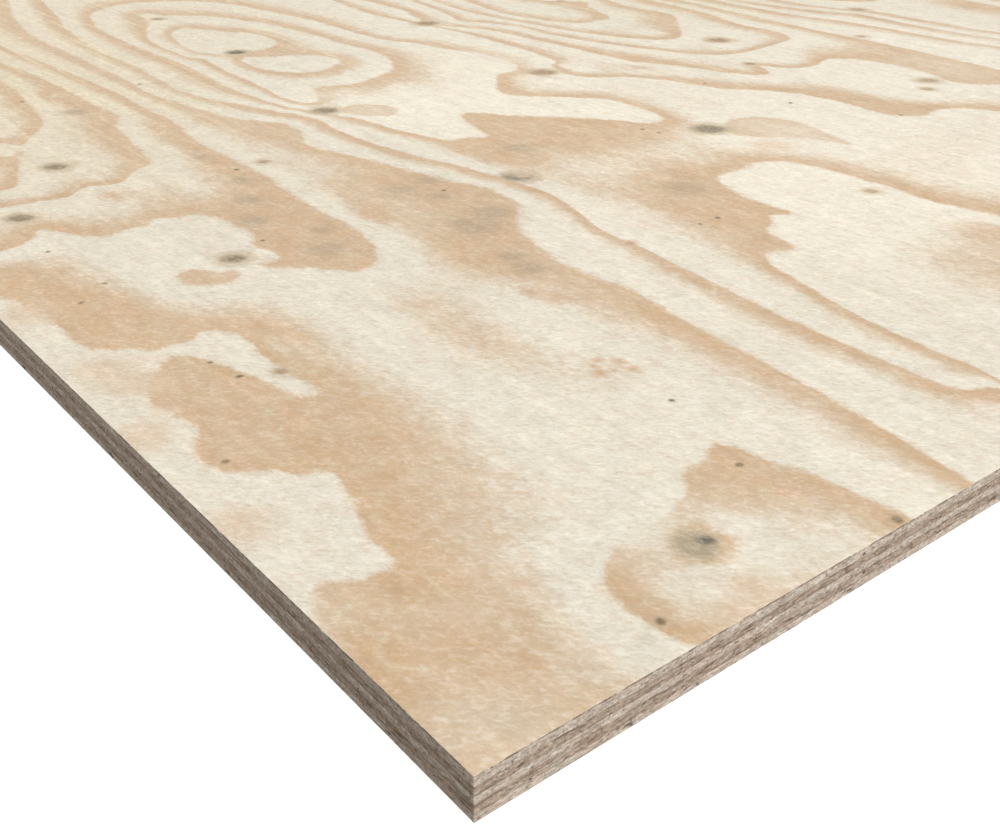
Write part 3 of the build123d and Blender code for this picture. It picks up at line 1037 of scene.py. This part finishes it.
sawnTexture = {
    "bold": ((95, 95, 900), 6, 0.76, 0.4),
    "pale": ((120, 120, 460), 4, 0.72, 0.3),
    "grit": ((520, 520, 1000), 3, 0.8),
    "specks": ((420, 420, 900), 2, 0.7),
    "tint": ((260, 260, 480), 3, 0.75),
    "boldStops": [(0.5, 0), (0.56, 0.5), (0.63, 1)],
    "paleStops": [(0.5, 0), (0.6, 1)],
    "speckStops": [(0.28, 0.9), (0.4, 0)],
}


def makeEdgeGroup():
    look = sawnTexture
    group, given = newGroup("sawnFibres", {})
    bold, pale, grit, specks, tint = (
        speckle(group, given["Vector"], *look[key]) for key in ("bold", "pale", "grit", "specks", "tint"))
    return closeGroup(group, {
        "Dark Fibres": ramp(group, bold, look["boldStops"]),
        "Light Fibres": ramp(group, pale, look["paleStops"]),
        "Specks": ramp(group, specks, look["speckStops"]),
        "Grit": calc(group, "SUBTRACT", grit, 0.5), "Tint": tint,
        "Height": calc(group, "SUBTRACT", grit, bold)})


def emptyTree(owner):
    owner.use_nodes = True
    owner.node_tree.nodes.clear()
    return owner.node_tree


def startMaterial(name):
    material = bpy.data.materials.new(name)
    tree = emptyTree(material)
    return material, tree, place(tree, "TexCoord").outputs["Object"]


def finishMaterial(tree, look, base, roughness, height):
    bump = place(tree, "Bump", {"Height": height, "Strength": look["bump"], "Distance": look["bumpDepth"]})
    shader = place(tree, "BsdfPrincipled", {
        "Base Color": base, "Roughness": roughness, "Specular IOR Level": look["specular"],
        "Normal": bump.outputs[0]})
    place(tree, "OutputMaterial", {"Surface": shader.outputs[0]})


pineLook = {
    "early": colour(231, 223, 205),
    "late": colour(206, 173, 136),
    "honey": colour(225, 208, 177),
    "honeyGain": -6,  # how fast early wood turns to honey where its lightness falls below 1
    "pink": colour(228, 200, 178),
    "pinkStops": [(0.52, 0), (0.7, 0.4)],
    "green": colour(216, 210, 180),
    "greenStops": [(0.3, 0.35), (0.46, 0)],
    "yellow": colour(228, 217, 176),
    "yellowStops": [(0.54, 0), (0.68, 0.5)],
    "markNoise": ((260, 420, 420), 3, 0.6),
    "markBreak": 1.2,
    "fleck": colour(247, 242, 228),
    "fleckShare": (-0.32, 0.52),  # change on late wood and marks, share on early wood
    "smudge": colour(192, 174, 142),
    "smudgeShare": 0.3,
    "dim": colour(150, 124, 90),
    "dimGain": -1.4,
    "lateLift": -0.8,  # late wood takes less of the lightness above 1
    "fibreContrast": 0.85,
    "raggedness": 0.11,
    "patchiness": 2.4,
    "roughness": (-0.08, 0.7),  # change on late wood, early wood
    "specular": 0.3,
    "fleckHeight": 0.8,
    "bump": 0.4,
    "bumpDepth": 0.00015,
}


def pineMaterial(groups):
    look = pineLook
    material, tree, where = startMaterial("sandedPine")
    stored = {name: place(tree, "Attribute", attribute_name=name).outputs["Fac"]
              for name in ("ringNumber", "ringStrength", "toneAndPaintedLight", "grainShare", "markCover")}
    markColour = place(tree, "Attribute", attribute_name="markColour").outputs["Color"]
    rings = useGroup(tree, groups["rings"], {
        "Vector": where, "Ring Number": stored["ringNumber"], "Strength": stored["ringStrength"],
        "Raggedness": look["raggedness"], "Patchiness": look["patchiness"]})
    fibre = useGroup(tree, groups["fibre"], {"Vector": where, "Contrast": look["fibreContrast"]})
    flecks = useGroup(tree, groups["flecks"], {"Vector": where})
    late, shade, cover = rings["Latewood"], fibre["Shade"], stored["markCover"]
    tone = calc(tree, "SUBTRACT", stored["toneAndPaintedLight"], 1)
    streaks = ramp(tree, fibre["Grain"], look["yellowStops"])
    broken = calc(tree, "SUBTRACT", speckle(tree, where, *look["markNoise"]), 0.5)
    broken = calc(tree, "MULTIPLY", broken, calc(tree, "MULTIPLY", cover, look["markBreak"]))
    patch = calc(tree, "ADD", broken, cover, clamp=True)
    shine = calc(tree, "MULTIPLY_ADD", calc(tree, "MAXIMUM", late, patch), *look["fleckShare"])
    base = paint(
        tree, look["early"],
        (calc(tree, "MULTIPLY", tone, look["honeyGain"], clamp=True), look["honey"]),
        (late, look["late"]),
        (ramp(tree, fibre["Tint"], look["pinkStops"]), look["pink"]),
        (ramp(tree, fibre["Tint"], look["greenStops"]), look["green"]),
        (calc(tree, "MULTIPLY", streaks, stored["grainShare"]), look["yellow"]),
        (patch, markColour),
        (calc(tree, "MULTIPLY", flecks["Light Flecks"], shine), look["fleck"]),
        (calc(tree, "MULTIPLY", flecks["Dark Flecks"], look["smudgeShare"]), look["smudge"]),
        (calc(tree, "MULTIPLY", shade, look["dimGain"], clamp=True), look["dim"]))
    # Lightness above 1 is painted light, laid on by multiplying; late wood takes less of it
    lift = calc(tree, "MULTIPLY_ADD", late, look["lateLift"], 1)
    lift = calc(tree, "MULTIPLY_ADD", calc(tree, "MAXIMUM", tone, 0), lift, 1)
    base = blendColours(tree, 1, base, calc(tree, "ADD", calc(tree, "MAXIMUM", shade, 0), lift), "MULTIPLY")
    height = calc(tree, "MULTIPLY_ADD", flecks["Height"], look["fleckHeight"], fibre["Height"])
    height = calc(tree, "ADD", height, rings["Height"])
    finishMaterial(tree, look, base, calc(tree, "MULTIPLY_ADD", late, *look["roughness"]), height)
    return material


edgeLooks = {
    "pale": {"name": "sawnEdgePale", "wood": colour(206, 190, 174), "light": colour(228, 220, 208),
             "dark": colour(134, 108, 88), "lightShare": 0.7, "darkShare": 0.5},
    "dark": {"name": "sawnEdgeDark", "wood": colour(184, 163, 144), "light": colour(211, 199, 185),
             "dark": colour(100, 76, 60), "lightShare": 0.55, "darkShare": 0.95},
}
sawnLook = {  # what the two kinds of edge share
    "pink": colour(206, 172, 156),
    "pinkStops": [(0.52, 0), (0.7, 0.3)],
    "green": colour(178, 178, 154),
    "greenStops": [(0.3, 0.4), (0.47, 0)],
    "gritContrast": 2.3,
    "speck": colour(96, 76, 62),
    "glueAndPaintedShade": colour(78, 60, 48),
    "glueNoise": ((140, 140, 300), 3, 0.7),
    "glueStops": [(0.36, 0.1), (0.6, 1)],
    "roughness": 0.88,
    "specular": 0.2,
    "bump": 0.5,
    "bumpDepth": 0.0002,
}


def edgeMaterial(kind, groups):
    look = {**sawnLook, **edgeLooks[kind]}
    material, tree, where = startMaterial(look["name"])
    glueLineAndPaintedShade = place(tree, "Attribute", attribute_name="glueLineAndPaintedShade").outputs["Fac"]
    fibres = useGroup(tree, groups["edge"], {"Vector": where})
    base = paint(
        tree, look["wood"],
        (calc(tree, "MULTIPLY", fibres["Light Fibres"], look["lightShare"]), look["light"]),
        (calc(tree, "MULTIPLY", fibres["Dark Fibres"], look["darkShare"]), look["dark"]),
        (ramp(tree, fibres["Tint"], look["pinkStops"]), look["pink"]),
        (ramp(tree, fibres["Tint"], look["greenStops"]), look["green"]))
    grit = calc(tree, "MULTIPLY_ADD", fibres["Grit"], look["gritContrast"], 1)
    broken = ramp(tree, speckle(tree, where, *look["glueNoise"]), look["glueStops"])
    # This dark colour marks the real glue lines and also paints shade on the arris rows and inside the pits
    base = paint(
        tree, blendColours(tree, 1, base, grit, "MULTIPLY"), (fibres["Specks"], look["speck"]),
        (calc(tree, "MULTIPLY", glueLineAndPaintedShade, broken, clamp=True), look["glueAndPaintedShade"]))
    finishMaterial(tree, look, base, look["roughness"], fibres["Height"])
    return material


def buildVeneers():
    groups = {"rings": makeRingGroup(), "flecks": makeFleckGroup(), "fibre": makeFibreGroup(),
              "edge": makeEdgeGroup()}
    pine = pineMaterial(groups)
    edges = {kind: edgeMaterial(kind, groups) for kind in edgeLooks}
    columns = edgeColumns()
    places, outward, around = columns
    random = np.random.default_rng(edgeLook["seed"])
    bounds = {name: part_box(name) for name in layUp}
    levels = [np.full(len(around), bounds[layUp[0]][1].z / mm)]
    limit = edgeLook["glueWaveLimit"]
    for name in layUp[:-1]:
        wave = wavesAround(around, edgeLook["glueWaves"], random)
        levels.append(bounds[name][0].z / mm + np.clip(wave, -limit, limit))
    levels.append(np.full(len(around), bounds[layUp[-1]][0].z / mm))
    hidden = hiddenPoints(columns)
    broadSides = {  # side, marks, ring numbers
        "face_veneer": ("face", faceMarks + moreMarks("face"), settleRings()),
        "back_veneer": ("back", moreMarks("back"), lambda across, along: wildRings(across, along, "back")),
    }
    for k, name in enumerate(layUp):
        rows = wallRows(name, levels[k], levels[k + 1], around, edgeLook["seed"] + k + 1)
        # Glued broad sides lie flat, with only the rim following the glue line
        inner = [np.column_stack([hidden, np.full(len(hidden), corner.z)]) for corner in bounds[name]]
        if name in broadSides:
            side, marks, ringsAt = broadSides[name]
            shown = 1 if side == "face" else 0
            inner[shown], rings = broadSide(marks, side, ringsAt, inner[shown][0, 2])
        edge = edges["dark" if "crossband" in name else "pale"]
        piece, points = closedVeneer(name, rows, columns, inner[1], inner[0], pine, edge)
        if name in broadSides:
            walls = np.tile(ringsAt(*planPlaces(*places.T)), len(rows))
            glued = np.zeros(len(hidden))
            rings = [walls, rings, glued] if side == "face" else [walls, glued, rings]
            dressBroadSide(piece, points, np.concatenate(rings), marks, side)
        print("built", name)


stageLook = {
    "floorSize": 24,
    "floorGap": 0.0003,
    "floorGlow": 0.6,
    "floorTone": 0.9,
    "bounceTone": (0.165, 0.143, 0.125),
    "touching": 0.0006,  # a ray shorter than this comes from what rests on the floor
    "sky": 0.45,
    "keyStrength": 2.55,
    "keyFrom": (0.72, -0.03, 0.69),
    "keySoftness": 28,  # degrees
}


def backgroundRay(tree):
    # 1 for what the camera sees directly, in gloss or through glass
    rays = place(tree, "LightPath").outputs
    seen = calc(tree, "MAXIMUM", rays["Is Camera Ray"], rays["Is Glossy Ray"])
    return calc(tree, "MAXIMUM", seen, rays["Is Transmission Ray"])


def mixShaders(tree, share, a, b):
    return place(tree, "MixShader", {0: share, 1: a, 2: b}).outputs[0]


def plainShader(tree, kind, tone, **values):
    return place(tree, kind, {"Color": (*tone, 1), **values}).outputs[0]


def setStage():
    look = stageLook
    white = (1, 1, 1)
    half, depth = look["floorSize"] / 2, zLow - look["floorGap"]
    corners = [(x * half, y * half, depth) for x, y in ((-1, -1), (1, -1), (1, 1), (-1, 1))]
    mesh = bpy.data.meshes.new("studioFloor")
    mesh.from_pydata(corners, [], [(0, 1, 2, 3)])
    floor = addObject("studioFloor", mesh)
    material = bpy.data.materials.new("studioFloor")
    tree = emptyTree(material)
    pale = plainShader(tree, "BsdfDiffuse", (look["floorTone"],) * 3)
    glow = plainShader(tree, "Emission", white, Strength=look["floorGlow"])
    shown = place(tree, "AddShader", {0: pale, 1: glow}).outputs[0]
    both = mixShaders(tree, backgroundRay(tree), plainShader(tree, "BsdfDiffuse", look["bounceTone"]), shown)
    # From underneath there is no floor, and what rests on it is lit as if by a white floor just below
    touching = calc(tree, "LESS_THAN", place(tree, "LightPath").outputs["Ray Length"], look["touching"])
    both = mixShaders(tree, touching, both, plainShader(tree, "Emission", white, Strength=1))
    below = place(tree, "NewGeometry").outputs["Backfacing"]
    both = mixShaders(tree, below, both, place(tree, "BsdfTransparent").outputs[0])
    place(tree, "OutputMaterial", {"Surface": both})
    mesh.materials.append(material)
    world = bpy.data.worlds.new("studio")
    tree = emptyTree(world)
    dim, bright = (plainShader(tree, "Background", white, Strength=level) for level in (look["sky"], 1))
    place(tree, "OutputWorld", {"Surface": mixShaders(tree, backgroundRay(tree), dim, bright)})
    bpy.context.scene.world = world
    lamp = bpy.data.lights.new("softKey", "SUN")
    lamp.energy = look["keyStrength"]
    lamp.angle = math.radians(look["keySoftness"])
    key = addObject("softKey", lamp)
    key.rotation_mode = "QUATERNION"
    key.rotation_quaternion = Vector(look["keyFrom"]).to_track_quat("Z", "Y")


setCamera()
print("camera set")
setStage()
print("stage and lights set")
buildVeneers()
bpy.context.scene.view_settings.view_transform = "Standard"
